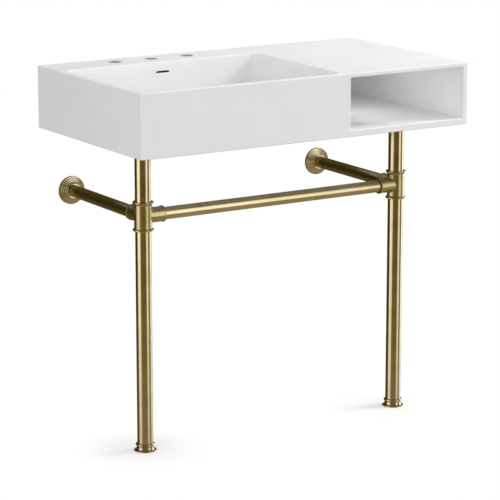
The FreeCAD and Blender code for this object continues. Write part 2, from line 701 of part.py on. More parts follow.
def front_rail():
    """Rail between the two cross fittings."""
    return tube("front_rail", "rail_radius", "rail_bore",
                "right_leg_x - left_leg_x - 2 * (socket_floor + end_gap)",
                x="left_leg_x + socket_floor + end_gap", y="leg_y", z="fitting_height",
                turn=((0, 1, 0), 90))


def strut(side, leg_x):
    """Strut from the cross fitting to the wall plate, with the hole of its grub screw."""
    body = tube(f"side_strut_{side}", "rail_radius", "rail_bore", "strut_length",
                x=leg_x, y="strut_start", z="fitting_height", turn=((1, 0, 0), -90))
    hole = new_sketch(body, "XZ_Plane", f"strut_hole_{side}")
    round_hole(hole, "0", "strut_length - strut_screw_reach", "grub_radius + running_gap")
    pocket(body, f"strut_hole_cut_{side}", hole, "rail_radius + overlap")
    screw = grub(f"strut_screw_{side}", "rail_radius - strut_screw_start - grub_sunk")
    screw.Label = f"strut_screw_{side}"
    place(screw, leg_x, "plate_face - strut_screw_reach", "fitting_height - strut_screw_start",
          (1, 0, 0), 180)
    NODES.append(screw)
    return body


def wall_plate(side, leg_x):
    """Disc with three countersunk holes and a spigot that the strut slides over."""
    body = new_body(f"wall_plate_{side}", leg_x, "wall_y", "fitting_height", ((1, 0, 0), 90))
    profile = new_sketch(body, "XZ_Plane", f"plate_profile_{side}")
    outline(profile, [
        ("0", "0"), ("plate_radius", "0"), ("plate_radius", "plate_thickness"),
        ("spigot_radius", "plate_thickness"), ("spigot_radius", "plate_thickness + spigot_length"),
        ("0", "plate_thickness + spigot_length"),
    ])
    turned(body, f"plate_turn_{side}", profile)
    cut = new_sketch(body, "XZ_Plane", f"plate_screw_profile_{side}")
    outline(cut, [
        ("plate_screw_circle", "-overlap"), ("plate_screw_circle + plate_screw_radius", "-overlap"),
        ("plate_screw_circle + plate_screw_radius",
         "plate_thickness - plate_screw_flat - plate_screw_cone"),
        ("plate_screw_circle + plate_screw_head", "plate_thickness - plate_screw_flat"),
        ("plate_screw_circle + plate_screw_head", "plate_thickness + overlap"),
        ("plate_screw_circle", "plate_thickness + overlap"),
    ])
    drill = body.newObject("PartDesign::Groove", f"plate_hole_{side}")
    drill.Profile = cut
    drill.ReferenceAxis = (cut, ["Edge6"])
    drill.Angle = 360
    document.recompute()
    ring = body.newObject("PartDesign::PolarPattern", f"plate_holes_{side}")
    ring.Originals = [drill]
    ring.Axis = (cut, ["V_Axis"])
    ring.Angle = 360
    ring.setExpression("Occurrences", formula("plate_screw_count"))
    body.Tip = ring
    document.recompute()
    seat = new_sketch(body, "XZ_Plane", f"spigot_seat_{side}")
    round_hole(seat, "0", "plate_thickness + strut_screw_reach", "grub_radius + running_gap")
    pocket(body, f"spigot_seat_cut_{side}", seat, "spigot_radius + overlap", upwards=True)
    return body


def wall_flange(side, leg_x):
    """Stepped cover flange, hollow at the back, that slides on the strut."""
    body = new_body(f"wall_flange_{side}", leg_x, "flange_back", "fitting_height", ((1, 0, 0), 90))
    profile = new_sketch(body, "XZ_Plane", f"flange_profile_{side}")
    stairs = [("flange_radius", "flange_first_step")]
    for count, radius in enumerate(("second", "third", "fourth"), start=1):
        stairs.append((f"flange_{radius}_radius", f"flange_first_step + {count} * flange_step"))
    corners = [*stairs, ("flange_hub_radius", "flange_depth")]
    treads = []
    for (radius, height), (next_radius, _) in zip(corners, corners[1:]):
        treads += [(radius, height), (next_radius, height)]
    outline(profile, [
        ("flange_cavity_radius", "0"), ("flange_radius", "0"), *treads,
        ("flange_hub_radius", "flange_depth"), ("flange_bore", "flange_depth"),
        ("flange_bore", "ring_middle + ring_groove_half"),
        ("ring_radius + ring_groove_half", "ring_middle + ring_groove_half"),
        ("ring_radius + ring_groove_half", "ring_middle - ring_groove_half"),
        ("flange_bore", "ring_middle - ring_groove_half"),
        ("flange_bore", "flange_cavity_depth"), ("flange_cavity_radius", "flange_cavity_depth"),
    ])
    turned(body, f"flange_turn_{side}", profile)
    soften(body, f"flange_rounds_{side}", "flange_edge_radius", lambda edge: any(
        level_at(edge, height) and near(edge.BoundBox.XMax, radius) for radius, height in corners))

    band = document.addObject("Part::Torus", f"flange_ring_{side}")
    band.Label = f"flange_ring_{side}"
    band.setExpression("Radius1", formula("ring_radius"))
    band.setExpression("Radius2", formula("ring_cord_radius"))
    place(band, leg_x, "flange_back - ring_middle", "fitting_height", (1, 0, 0), 90)
    NODES.append(band)
    return body


# ---------------------------------------------------------------- build, check and write

sink_top()
front_rail()
for side, leg_x, way in (("left", "left_leg_x", 1), ("right", "right_leg_x", -1)):
    leg(side, leg_x)
    foot(side, leg_x)
    cross_fitting(side, leg_x, way)
    cross_screws(side, leg_x, way)
    strut(side, leg_x)
    wall_plate(side, leg_x)
    wall_flange(side, leg_x)

document.recompute()
for item in document.Objects:
    if "Invalid" in item.State or "Error" in item.State:
        raise RuntimeError(f"{item.Label} failed: {item.State}")
for node in NODES:
    if node.Shape.isNull() or not node.Shape.isValid():
        raise RuntimeError(f"{node.Label} has no valid shape")

os.makedirs("parts", exist_ok=True)
for node in NODES:
    node.Shape.exportStep(os.path.join("parts", node.Label + ".step"))
    print(f"{node.Label:24s} {len(node.Shape.Solids)} solid(s) {node.Shape.Volume / 1000:10.1f} cm3")
print(len(NODES), "nodes")
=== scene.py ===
# %% [markdown]
# # A console sink on brass legs
#
# The real object is a white cast-resin top with a bowl and an open cubby. It stands on two brass legs,
# and a rail in front and two struts to the wall tie the legs together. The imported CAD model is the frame
# of this scene. It stays where it is, and each finish and each finer piece is fitted to it.

# %% Load the frame
import bpy
import bmesh
import json
import math
from mathutils import Matrix, Vector


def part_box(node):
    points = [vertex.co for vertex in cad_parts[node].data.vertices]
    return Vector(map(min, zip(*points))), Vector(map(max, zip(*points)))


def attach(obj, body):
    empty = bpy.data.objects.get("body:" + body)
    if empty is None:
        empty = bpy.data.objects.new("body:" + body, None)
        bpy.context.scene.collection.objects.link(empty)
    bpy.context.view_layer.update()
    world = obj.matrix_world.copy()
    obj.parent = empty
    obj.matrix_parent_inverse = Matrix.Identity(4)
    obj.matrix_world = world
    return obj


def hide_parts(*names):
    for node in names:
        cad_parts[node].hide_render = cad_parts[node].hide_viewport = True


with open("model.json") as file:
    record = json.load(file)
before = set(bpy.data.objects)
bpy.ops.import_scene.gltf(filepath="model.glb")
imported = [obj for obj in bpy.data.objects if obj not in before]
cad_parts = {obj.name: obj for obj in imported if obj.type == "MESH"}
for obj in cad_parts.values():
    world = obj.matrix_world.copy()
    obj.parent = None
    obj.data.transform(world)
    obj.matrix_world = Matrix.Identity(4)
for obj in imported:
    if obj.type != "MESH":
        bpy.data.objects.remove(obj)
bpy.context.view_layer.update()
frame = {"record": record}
scene = bpy.context.scene

# %% [markdown]
# ## Camera
#
# The photograph was taken from the front left, a little above the rim, with a long lens. A camera could
# be placed by eye. This one was fitted to the corners of the top and to both legs, because then the
# render can be laid over the photograph and compared edge by edge.

# %% Make the camera
CAMERA_PLACE = (-3.1408, -5.0449, 1.7856)
CAMERA_YAW = -0.5554
CAMERA_PITCH = 0.2250
CAMERA_LENS = 177.85

lens = bpy.data.cameras.new("camera")
lens.sensor_width = 36.0
lens.lens = CAMERA_LENS
camera = bpy.data.objects.new("camera", lens)
camera.location = CAMERA_PLACE
camera.rotation_euler = (math.pi / 2 - CAMERA_PITCH, 0.0, CAMERA_YAW)
scene.collection.objects.link(camera)
scene.camera = camera
print("camera lens:", lens.lens, "mm")

# %% [markdown]
# ## Node helpers
#
# Every material here is a small network of nodes. It could be built by hand in the shader editor, but a
# script can be read, compared and run again. The first helper places a node, sets its options, and links
# or fills its inputs, so that each network below reads like a list of what feeds what.


# %% Place a node and fill its inputs
def add(tree, kind, inputs=None, **options):
    """Place a node; an input that is given a socket is linked, any other value is set."""
    node = tree.nodes.new(kind)
    for key, option in options.items():
        setattr(node, key, option)
    for key, value in (inputs or {}).items():
        if isinstance(value, bpy.types.NodeSocket):
            tree.links.new(value, node.inputs[key])
        else:
            node.inputs[key].default_value = value
    return node


print("kinds of shader node:", sum(kind.startswith("ShaderNode") for kind in dir(bpy.types)))


# %% Sums, blends and soft steps
def math_node(tree, operation, *values):
    """Math node with its inputs in order."""
    return add(tree, "ShaderNodeMath", dict(enumerate(values)), operation=operation).outputs[0]


def blend_floats(tree, factor, low, high):
    """Number that runs from low to high as the factor runs from 0 to 1."""
    return add(tree, "ShaderNodeMix", {0: factor, 2: low, 3: high}, data_type="FLOAT").outputs[0]


def blend_colours(tree, factor, low, high):
    """Colour that runs from low to high as the factor runs from 0 to 1."""
    return add(tree, "ShaderNodeMix", {0: factor, 6: low, 7: high}, data_type="RGBA").outputs[2]


def smooth_share(tree, value, start, end):
    """Share from 0 at the start to 1 at the end, with soft ends."""
    return add(tree, "ShaderNodeMapRange", {0: value, 1: start, 2: end},
               interpolation_type="SMOOTHSTEP").outputs[0]


print("kinds of sum:", len(bpy.types.ShaderNodeMath.bl_rna.properties["operation"].enum_items))

# %% [markdown]
# ## Studio
#
# White resin needs even, soft light. Brass shows only what it mirrors, so its look comes from bright and
# dark panels around it. Panels could be built as glowing sheets, each with its own place and its own
# settings. The world does it all in one network instead: the camera sees plain white, matt surfaces get
# an even level of light, and glossy rays see upright panels that go all the way round.

# %% Upright panels seen by glossy rays
PANELS = [
    # compass angle in degrees from +X, brightness, warmth (1 is the warm dark of a bronze flag)
    (0, 2.20, 0.0), (18, 1.90, 0.0), (36, 0.12, 1.0), (136, 0.04, 1.0), (148, 0.18, 0.8),
    (160, 1.85, 0.0), (188, 1.85, 0.0), (204, 0.17, 1.0), (250, 0.16, 1.0), (270, 0.09, 1.0),
    (284, 0.75, 0.2), (292, 1.85, 0.0), (302, 1.85, 0.0), (314, 0.35, 0.5), (328, 0.16, 0.6),
    (338, 0.30, 0.5), (350, 2.00, 0.0), (360, 2.20, 0.0),
]
PANEL_TOP = 2.4
WARM_DARK = (0.98, 0.72, 0.26)
COOL_LIGHT = (0.98, 1.0, 1.08)


def panel_colour(brightness, warmth):
    """Colour of one panel, scaled so that the brightest is 1."""
    return [brightness / PANEL_TOP * ((1 - warmth) * cool + warmth * warm)
            for cool, warm in zip(COOL_LIGHT, WARM_DARK)] + [1.0]


def panel_ring(tree, across, inward):
    """Colour of the panel in the compass direction of a ray."""
    angle = math_node(tree, "ARCTAN2", inward, across)
    turn = math_node(tree, "DIVIDE", angle, 2 * math.pi)
    turn = math_node(tree, "FRACT", math_node(tree, "ADD", turn, 1.0))
    ramp = add(tree, "ShaderNodeValToRGB", {0: turn})
    stops = ramp.color_ramp.elements
    stops.remove(stops[1])
    for index, (degrees, brightness, warmth) in enumerate(PANELS):
        stop = stops[0] if index == 0 else stops.new(degrees / 360)
        stop.position = degrees / 360
        stop.color = panel_colour(brightness, warmth)
    return ramp.outputs[0]


print("panels:", len(PANELS), "from", panel_colour(*PANELS[3][1:]), "to", panel_colour(*PANELS[0][1:]))

# %% The world
# brightness and warmth of what glossy rays see above, below and behind the object
OVERHEAD = (0.20, 0.5)
UNDERFOOT = (0.42, 0.5)
BACKDROP = (0.12, 1.0)
# where each of them starts and is full, as a part of the ray's direction
TOWARDS_WALL = (0.45, 0.80)
UPWARDS = (0.40, 0.75)
DOWNWARDS = (-0.19, -0.38)
# light for matt surfaces: at the horizon, more towards the top, less towards both sides
HORIZON = 0.775
ZENITH_GAIN = 0.18
SIDE_FALL = 0.32
WHITE = (1, 1, 1, 1)


def mirrored_studio(tree, across, inward, up):
    """Colour that glossy rays see: panels all round, and plain fields above and below."""
    wallwards = smooth_share(tree, inward, *TOWARDS_WALL)
    above = blend_colours(tree, wallwards, panel_colour(*OVERHEAD), panel_colour(*BACKDROP))
    below = blend_colours(tree, wallwards, panel_colour(*UNDERFOOT), panel_colour(*BACKDROP))
    around = panel_ring(tree, across, inward)
    around = blend_colours(tree, smooth_share(tree, up, *UPWARDS), around, above)
    return blend_colours(tree, smooth_share(tree, up, *DOWNWARDS), around, below)


def make_world():
    """White for the camera, soft even light for matt surfaces, upright panels for glossy rays."""
    world = bpy.data.worlds.new("studio")
    world.use_nodes = True
    tree = world.node_tree
    tree.nodes.clear()
    direction = add(tree, "ShaderNodeTexCoord").outputs["Generated"]
    across, inward, up = add(tree, "ShaderNodeSeparateXYZ", {0: direction}).outputs
    sky = math_node(tree, "MULTIPLY_ADD", math_node(tree, "MAXIMUM", up, 0.0), ZENITH_GAIN, HORIZON)
    sky = math_node(tree, "MULTIPLY_ADD", math_node(tree, "ABSOLUTE", across), -SIDE_FALL, sky)
    path = add(tree, "ShaderNodeLightPath").outputs
    plain = math_node(tree, "MAXIMUM", path["Is Camera Ray"], path["Is Transmission Ray"])
    mirrored = mirrored_studio(tree, across, inward, up)
    colour = blend_colours(tree, path["Is Glossy Ray"], WHITE, mirrored)
    level = blend_floats(tree, plain, sky, 1.0)
    level = blend_floats(tree, path["Is Glossy Ray"], level, PANEL_TOP)
    shade = add(tree, "ShaderNodeBackground", {"Color": colour, "Strength": level})
    add(tree, "ShaderNodeOutputWorld", {"Surface": shade.outputs[0]})
    return world


scene.world = make_world()
scene.view_settings.view_transform = "Standard"
print("world nodes:", len(scene.world.node_tree.nodes))

# %% [markdown]
# ## Lamps
#
# Soft lamps give the top its gentle shading, brightest from above and weakest on the left side. One
# large lamp overhead could do that, but it would leave the front and the cubby dark. So the key lamp
# stands high on the right and throws the slanting shadow across the bowl's back wall. A low lamp at the
# front stays under the rim: it lights the front and the cubby, and never the bowl. Two small ones inside
# the cubby stand for light that bounces in from the room.


# %% Soft lamps
def soft_lamp(name, place, aim, width, height, watts):
    """Area lamp at a place, turned to a point, that neither the camera nor glossy surfaces see."""
    light = bpy.data.lights.new(name, "AREA")
    light.shape = "RECTANGLE"
    light.size = width
    light.size_y = height
    light.energy = watts
    lamp = bpy.data.objects.new(name, light)
    lamp.location = place
    lamp.rotation_euler = (Vector(aim) - Vector(place)).to_track_quat("-Z", "Y").to_euler()
    lamp.visible_glossy = False
    lamp.visible_camera = False
    scene.collection.objects.link(lamp)
    return lamp


MIDDLE = (0.0, 0.0, 0.6)
# name, place, aim, width and height in metres, watts
LAMPS = [
    soft_lamp("lamp_right", (2.7, -0.8, 2.7), MIDDLE, 1.0, 1.0, 66.0),
    soft_lamp("lamp_left", (-3.0, -1.3, 1.0), MIDDLE, 1.4, 1.4, 25.0),
    soft_lamp("lamp_front", (1.4, -2.8, 0.85), (0.2, -0.25, 0.8), 1.0, 0.4, 13.5),
    soft_lamp("lamp_cubby_mouth", (0.215, -0.185, 0.85), (0.44, 0.06, 0.79), 0.10, 0.04, 0.07),
    soft_lamp("lamp_cubby_deep", (0.215, -0.06, 0.855), (0.44, 0.16, 0.80), 0.10, 0.03, 0.08),
]
print("lamps:", [lamp.name for lamp in LAMPS])

# %% [markdown]
# ## Floor
#
# The photograph has a white floor with a soft shadow at each foot. Blender's shadow catcher is one way
# to make it. Here a pale matt floor near the feet turns into plain white further out, because a mask on
# the distance from the feet then sets how far the shadow may reach. Other rays than the camera's see a
# greyer floor, so it throws less light up. Its underside is clear, so the part shows from below too.

# %% Distance from the feet
FLOOR_HALF = 30.0


def middle_of(node):
    """Middle of a CAD node's box, in metres."""
    low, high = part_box(node)
    return (Vector(low) + Vector(high)) / 2


def away_from_feet(tree, place):
    """Distance from the middle of the nearer foot, on the floor."""
    reach = FLOOR_HALF
    for side in ("left", "right"):
        foot = middle_of(f"foot_pad_{side}")
        foot.z = 0.0
        away = add(tree, "ShaderNodeVectorMath", {0: place, 1: foot}, operation="DISTANCE")
        reach = math_node(tree, "MINIMUM", reach, away.outputs["Value"])
    return reach


print("feet stand at:", [middle_of(f"foot_pad_{side}").xy for side in ("left", "right")])

# %% Pale floor
SHADOW_REACH = (0.03, 0.18)
SHADOW_LIFT = 0.35
FLOOR_PALE = (0.93, 0.93, 0.93, 1)
FLOOR_BOUNCE = (0.30, 0.30, 0.30, 1)


def floor_paint():
    """Matt near the feet, plain white for the camera further out, clear from below."""
    material = bpy.data.materials.new("floor_paint")
    material.use_nodes = True
    tree = material.node_tree
    tree.nodes.clear()
    place = add(tree, "ShaderNodeTexCoord").outputs["Object"]
    fade = smooth_share(tree, away_from_feet(tree, place), *SHADOW_REACH)
    camera_ray = add(tree, "ShaderNodeLightPath").outputs["Is Camera Ray"]
    lifted = blend_floats(tree, fade, SHADOW_LIFT, 1.0)
    far = math_node(tree, "MULTIPLY", lifted, camera_ray)
    tone = blend_colours(tree, camera_ray, FLOOR_BOUNCE, FLOOR_PALE)
    matt = add(tree, "ShaderNodeBsdfDiffuse", {"Color": tone})
    white = add(tree, "ShaderNodeEmission", {"Color": WHITE, "Strength": 1.0})
    mixed = add(tree, "ShaderNodeMixShader", {0: far, 1: matt.outputs[0], 2: white.outputs[0]})
    clear = add(tree, "ShaderNodeBsdfTransparent")
    beneath = add(tree, "ShaderNodeNewGeometry").outputs["Backfacing"]
    seen = add(tree, "ShaderNodeMixShader", {0: beneath, 1: mixed.outputs[0], 2: clear.outputs[0]})
    add(tree, "ShaderNodeOutputMaterial", {"Surface": seen.outputs[0]})
    return material


def make_floor():
    """Large square under the feet, which glossy rays don't see."""
    mesh = bpy.data.meshes.new("floor")
    corners = [(-FLOOR_HALF, -FLOOR_HALF, 0), (FLOOR_HALF, -FLOOR_HALF, 0),
               (FLOOR_HALF, FLOOR_HALF, 0), (-FLOOR_HALF, FLOOR_HALF, 0)]
    mesh.from_pydata(corners, [], [(0, 1, 2, 3)])
    mesh.materials.append(floor_paint())
    floor = bpy.data.objects.new("floor", mesh)
    scene.collection.objects.link(floor)
    floor.visible_glossy = False
    return floor


print("floor:", make_floor().dimensions.x, "m wide")

# %% [markdown]
# ## Shared surface effects
#
# Three effects are used by more than one finish: fine hairlines left by brushing, soft cloudy patches
# from handling and casting, and tiny pits. Image textures could show them too, but those need a flat
# layout of every piece. Each effect is a node group of noise in space instead, built once, and every
# finish places it with its own values.


# %% Hairlines
FINE_LINES = 0.4


def new_group(name, inputs, output):
    """Empty shader group with its sockets, and its input and output nodes."""
    group = bpy.data.node_groups.new(name, "ShaderNodeTree")
    for label, kind, value in inputs:
        socket = group.interface.new_socket(label, in_out="INPUT", socket_type="NodeSocket" + kind)
        if value is not None:
            socket.default_value = value
    group.interface.new_socket(output, in_out="OUTPUT", socket_type="NodeSocketFloat")
    return group, add(group, "NodeGroupInput").outputs, add(group, "NodeGroupOutput").inputs


def hairline_group():
    """Fine lines: noise that is squeezed along one axis, so it only changes quickly across the lines."""
    group, given, out = new_group(
        "hairlines", [("Vector", "Vector", None), ("Squeeze", "Vector", (1, 1, 1))], "Lines")
    scaled = add(group, "ShaderNodeVectorMath", {0: given["Vector"], 1: given["Squeeze"]},
                 operation="MULTIPLY").outputs[0]
    coarse = add(group, "ShaderNodeTexNoise", {
        "Vector": scaled, "Scale": 1.0, "Detail": 3.0, "Roughness": 0.6}).outputs[0]
    fine = add(group, "ShaderNodeTexNoise", {"Vector": scaled, "Scale": 3.7, "Detail": 2.0}).outputs[0]
    group.links.new(blend_floats(group, FINE_LINES, coarse, fine), out["Lines"])
    return group


HAIRLINES = hairline_group()
print("group:", HAIRLINES.name, "with", len(HAIRLINES.nodes), "nodes")

# %% Clouds
PATCH_EDGES = (0.32, 0.68)


def cloud_group():
    """Soft patches, spread to the whole range from 0 to 1."""
    group, given, out = new_group(
        "clouds", [("Vector", "Vector", None), ("Scale", "Float", 20.0)], "Patches")
    noise = add(group, "ShaderNodeTexNoise", {
        "Vector": given["Vector"], "Scale": given["Scale"], "Detail": 4.0, "Roughness": 0.55}).outputs[0]
    group.links.new(smooth_share(group, noise, *PATCH_EDGES), out["Patches"])
    return group


CLOUDS = cloud_group()
print("group:", CLOUDS.name, "with", len(CLOUDS.nodes), "nodes")

# %% Pits
PIT_FREE_SHARE = 0.8


def pit_group():
    """Rare small dents: cells of a Voronoi pattern, kept only near the middle of some cells."""
    group, given, out = new_group(
        "pits", [("Vector", "Vector", None), ("Scale", "Float", 400.0), ("Size", "Float", 0.12)], "Depth")
    cells = add(group, "ShaderNodeTexVoronoi", {"Vector": given["Vector"], "Scale": given["Scale"]})
    pit = smooth_share(group, cells.outputs["Distance"], given["Size"], 0.0)
    chosen = add(group, "ShaderNodeSeparateColor", {0: cells.outputs["Color"]}).outputs[0]
    kept = math_node(group, "GREATER_THAN", chosen, PIT_FREE_SHARE)
    group.links.new(math_node(group, "MULTIPLY", pit, kept), out["Depth"])
    return group


PITS = pit_group()
print("group:", PITS.name, "with", len(PITS.nodes), "nodes")

# %% [markdown]
# ## Cast resin
#
# The top is cast resin: a dense white with a satin skin, very slightly uneven in gloss. Where it is
# drilled, in the tap holes, it is rougher, and the holes' walls get a painted grey shade. The inside of
# the overflow slot and its duct gets a painted near-black shade. Both could be pieces of their own, but
# the resin is one casting, so masks in its one material paint the shade there.


# %% Start and end of a material
def new_material(name):
    """Empty material, its node tree and object coordinates."""
    material = bpy.data.materials.new(name)
    material.use_nodes = True
    tree = material.node_tree
    tree.nodes.clear()
    place = add(tree, "ShaderNodeTexCoord").outputs["Object"]
    return material, tree, place


def group_node(tree, group, vector, **inputs):
    """Place a shared effect and return its output."""
    return add(tree, "ShaderNodeGroup", {"Vector": vector, **inputs}, node_tree=group).outputs[0]


def bump(tree, height, strength, distance, before=None, invert=False):
    """Normal with a bump on it, on top of an earlier bump where one is given."""
    inputs = {"Height": height, "Strength": strength, "Distance": distance}
    if before:
        inputs["Normal"] = before
    return add(tree, "ShaderNodeBump", inputs, invert=invert).outputs[0]


def finish_material(tree, inputs):
    """Give the material one shader with these inputs."""
    shader = add(tree, "ShaderNodeBsdfPrincipled", inputs)
    add(tree, "ShaderNodeOutputMaterial", {"Surface": shader.outputs[0]})


# %% Masks for the painted shade in the tap holes and the overflow slot
TAP_HOLES = [mount for mount in frame["record"]["mounts"] if mount["name"].startswith("tap_holes")]
HOLE_RADIUS = TAP_HOLES[0]["dims"]["hole_r_mm"] / 1000
# metres beyond the hole's radius, and below the deck, at which the mask starts and is full
BEYOND_RADIUS = (0.0008, 0.0003)
BELOW_DECK = (0.0006, 0.0020)
# the overflow slot's inside, which gets a painted near-black shade: from and to along X, Y and Z, in
# metres
OVERFLOW_SLOT = [(-0.1880, -0.1504), (0.1488, 0.1715), (0.8612, 0.8668)]


def drilled_and_shaded_walls(tree, place):
    """Mask, 1 on the tap holes' walls and 0 on the moulded skin, for their roughness and painted shade."""
    across, inward, up = add(tree, "ShaderNodeSeparateXYZ", {0: place}).outputs
    flat = add(tree, "ShaderNodeCombineXYZ", {0: across, 1: inward}).outputs[0]
    nearest = 1.0
    for mount in TAP_HOLES:
        middle_x, middle_y, deck = mount["pos_m"]
        half = mount["dims"]["spacing_x_mm"] / 2000
        for sense in (-1, 1):
            axis = (middle_x + sense * half, middle_y, 0)
            away = add(tree, "ShaderNodeVectorMath", {0: flat, 1: axis}, operation="DISTANCE")
            nearest = math_node(tree, "MINIMUM", nearest, away.outputs["Value"])
    within = smooth_share(tree, nearest, *(HOLE_RADIUS + margin for margin in BEYOND_RADIUS))
    below = smooth_share(tree, up, *(deck - margin for margin in BELOW_DECK))
    return math_node(tree, "MULTIPLY", within, below)


def slot_painted_shade_mask(tree, place):
    """Mask that is 1 inside the overflow slot and the duct behind it, where the shade is painted."""
    mask = 1.0
    for value, (low, high) in zip(add(tree, "ShaderNodeSeparateXYZ", {0: place}).outputs, OVERFLOW_SLOT):
        within = math_node(tree, "COMPARE", value, (low + high) / 2, (high - low) / 2)
        mask = math_node(tree, "MULTIPLY", mask, within)
    return mask


print("tap hole radius:", HOLE_RADIUS, "m, patterns:", len(TAP_HOLES))

# %% The resin
RESIN_SHADES = ((0.865, 0.865, 0.858, 1), (0.885, 0.886, 0.882, 1))
RESIN_GLOSS = (0.40, 0.46)
GRAIN_GLOSS = 0.04
RESIN_SHINE = 0.2
# painted shade on the tap holes' walls: a darker grey that stands in for the shade inside the holes
DRILLED_PAINTED_SHADE = (0.48, 0.48, 0.475, 1)
DRILLED_GLOSS = 0.7
# painted shade inside the overflow slot and its duct: near black
SLOT_PAINTED_SHADE = (0.10, 0.10, 0.098, 1)


def cast_resin():
    """White resin with a satin skin, rougher where it is drilled, with painted shade in the tap holes and
    the slot.
    """
    material, tree, place = new_material("cast_resin_satin")
    clouds = group_node(tree, CLOUDS, place, Scale=9.0)
    pits = group_node(tree, PITS, place, Scale=160.0, Size=0.05)
    grain = add(tree, "ShaderNodeTexNoise", {"Vector": place, "Scale": 900.0, "Detail": 2.0}).outputs[0]
    ripple = add(tree, "ShaderNodeTexNoise", {"Vector": place, "Scale": 16.0, "Detail": 1.0}).outputs[0]
    drilled_and_shaded = drilled_and_shaded_walls(tree, place)
    colour = blend_colours(tree, clouds, *RESIN_SHADES)
    # painted shade: the tap holes' walls are made darker grey
    colour = blend_colours(tree, drilled_and_shaded, colour, DRILLED_PAINTED_SHADE)
    # painted shade: the inside of the overflow slot is made near black
    colour = blend_colours(tree, slot_painted_shade_mask(tree, place), colour, SLOT_PAINTED_SHADE)
    gloss = blend_floats(tree, clouds, *RESIN_GLOSS)
    gloss = math_node(tree, "ADD", gloss, math_node(tree, "MULTIPLY", grain, GRAIN_GLOSS))
    gloss = blend_floats(tree, drilled_and_shaded, gloss, DRILLED_GLOSS)
    normal = bump(tree, ripple, strength=0.25, distance=0.0003)
    normal = bump(tree, pits, strength=0.3, distance=0.0002, before=normal, invert=True)
    normal = bump(tree, grain, strength=0.15, distance=0.00005, before=normal)
    finish_material(tree, {"Base Color": colour, "Roughness": gloss, "Normal": normal,
                           "Specular IOR Level": RESIN_SHINE})
    return material


RESIN = cast_resin()
print("material:", RESIN.name)

# %% [markdown]
# ## Brushed and toned brass
#
# The frame is brass, brushed round each tube and toned to a warm brown, then lacquered. Anisotropic
# shading could stretch the highlights as brushing does, but it shows no single lines. So fine noise lines
# change the roughness and the normal a little, and a clear coat over the metal gives the lacquer's pale
# highlights. The cross fittings are cast, so they are duller and have no direction.

# %% The brass finishes
BRASS_LIGHT = (0.61, 0.52, 0.29, 1)
BRASS_TONED = (0.52, 0.43, 0.21, 1)
CAST_LIGHT = (0.56, 0.46, 0.22, 1)
CAST_TONED = (0.47, 0.37, 0.15, 1)
PIT_SHADE = (0.12, 0.08, 0.03, 1)
# how much the lines and pits darken the tone, and how much the clouds dull it
LINE_TONE = 0.35
PIT_TONE = 0.5
CLOUD_GLOSS = 0.04


def brushed_brass(name, squeeze, smooth=0.07, rough=0.19, light=BRASS_LIGHT, toned=BRASS_TONED,
                  turned=False):
    """Lacquered brass with hairlines across the direction that is squeezed most."""
    material, tree, place = new_material(name)
    brushed = place
    if turned:
        brushed = add(tree, "ShaderNodeAttribute", attribute_name="turned").outputs["Vector"]
    lines = group_node(tree, HAIRLINES, brushed, Squeeze=squeeze)
    clouds = group_node(tree, CLOUDS, place, Scale=22.0)
    pits = group_node(tree, PITS, place, Scale=500.0)
    tone = blend_colours(tree, clouds, toned, light)
    tone = blend_colours(tree, math_node(tree, "MULTIPLY", lines, LINE_TONE), tone, toned)
    tone = blend_colours(tree, math_node(tree, "MULTIPLY", pits, PIT_TONE), tone, PIT_SHADE)
    gloss = blend_floats(tree, lines, smooth, rough)
    gloss = math_node(tree, "ADD", gloss, math_node(tree, "MULTIPLY", clouds, CLOUD_GLOSS))
    normal = bump(tree, lines, strength=0.12, distance=0.00004)
    normal = bump(tree, pits, strength=0.3, distance=0.00005, before=normal, invert=True)
    finish_material(tree, {"Base Color": tone, "Metallic": 1.0, "Roughness": gloss, "Normal": normal,
                           "Coat Weight": 0.6, "Coat Roughness": 0.12, "Coat IOR": 1.5})
    return material


print("brass shades:", BRASS_LIGHT[:3], "to", BRASS_TONED[:3])

# %% One brass for each direction of brushing
# noise per metre across the hairlines, along them, and on the cast pieces
ACROSS = 2600
LENGTHWISE = 40
GRAINY = 900
BRASS_UPRIGHT = brushed_brass("brass_brushed_upright", (LENGTHWISE, LENGTHWISE, ACROSS))
BRASS_RAIL = brushed_brass("brass_brushed_rail", (ACROSS, LENGTHWISE, LENGTHWISE))
BRASS_STRUT = brushed_brass("brass_brushed_strut", (LENGTHWISE, ACROSS, LENGTHWISE))
BRASS_TURNED = brushed_brass("brass_brushed_turned", (ACROSS, ACROSS, LENGTHWISE), smooth=0.08,
                             rough=0.18, turned=True)
BRASS_CAST = brushed_brass("brass_satin_cast", (GRAINY, GRAINY, GRAINY), smooth=0.20, rough=0.30,
                           light=CAST_LIGHT, toned=CAST_TONED)
BRASSES = (BRASS_UPRIGHT, BRASS_RAIL, BRASS_STRUT, BRASS_TURNED, BRASS_CAST)
print("brass:", [brass.name for brass in BRASSES])

# %% [markdown]
# ## Plain metals and rubber
#
# The pieces inside are left as the machine made them: turned brass, and steel with a zinc coat. The pads
# and the rings are black rubber. They are hardly seen, so flat colours would nearly do, but the shared
# effects add the turning marks and the rubber's dusty bloom in a few lines.


# %% Plain brass and steel
def turned_metal(name, light, dark, low_gloss, high_gloss):
    """Unlacquered metal with turning marks, for the pieces inside."""
    material, tree, place = new_material(name)
    lines = group_node(tree, HAIRLINES, place, Squeeze=(60, 60, 2500))
    clouds = group_node(tree, CLOUDS, place, Scale=60.0)
    colour = blend_colours(tree, clouds, dark, light)
    gloss = blend_floats(tree, lines, low_gloss, high_gloss)
    normal = bump(tree, lines, strength=0.2, distance=0.00005)
    finish_material(tree, {"Base Color": colour, "Metallic": 1.0, "Roughness": gloss, "Normal": normal})
    return material


